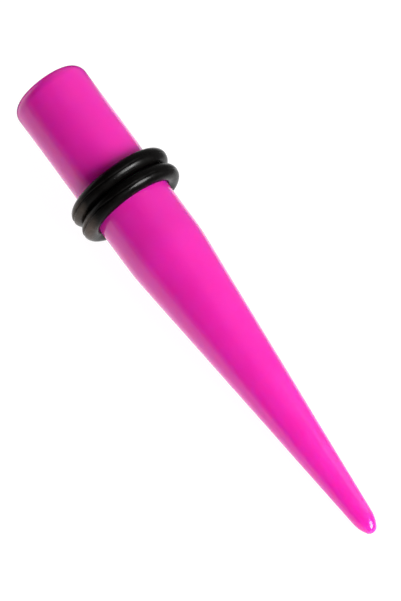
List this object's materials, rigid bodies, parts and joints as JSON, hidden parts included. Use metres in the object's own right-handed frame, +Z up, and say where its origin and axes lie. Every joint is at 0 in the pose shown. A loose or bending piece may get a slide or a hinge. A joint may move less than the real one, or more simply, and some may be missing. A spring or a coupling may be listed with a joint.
{
  "type": "ear stretching taper",
  "caption": "Straight glossy ear stretching taper with a round shank, a long plain cone to a rounded point, and two rubber O-rings on the shank.",
  "frame": {"origin": "middle of the footprint, on the surface that the taper lies on", "axes": "+Z up from the surface, +X along the taper towards its point, +Y across it; the taper's own axis dips 6.52 degrees below +X, because it rests on the front O-ring and its point"},
  "size_m": [0.055, 0.011, 0.0112],
  "materials": {
    "acrylic": "polished opaque magenta acrylic",
    "rubber": "satin black rubber with a fine mould line"
  },
  "bodies": {
    "root": {"taper": "acrylic", "o_ring_rear": "rubber", "o_ring_front": "rubber"}
  },
  "joints": []
}
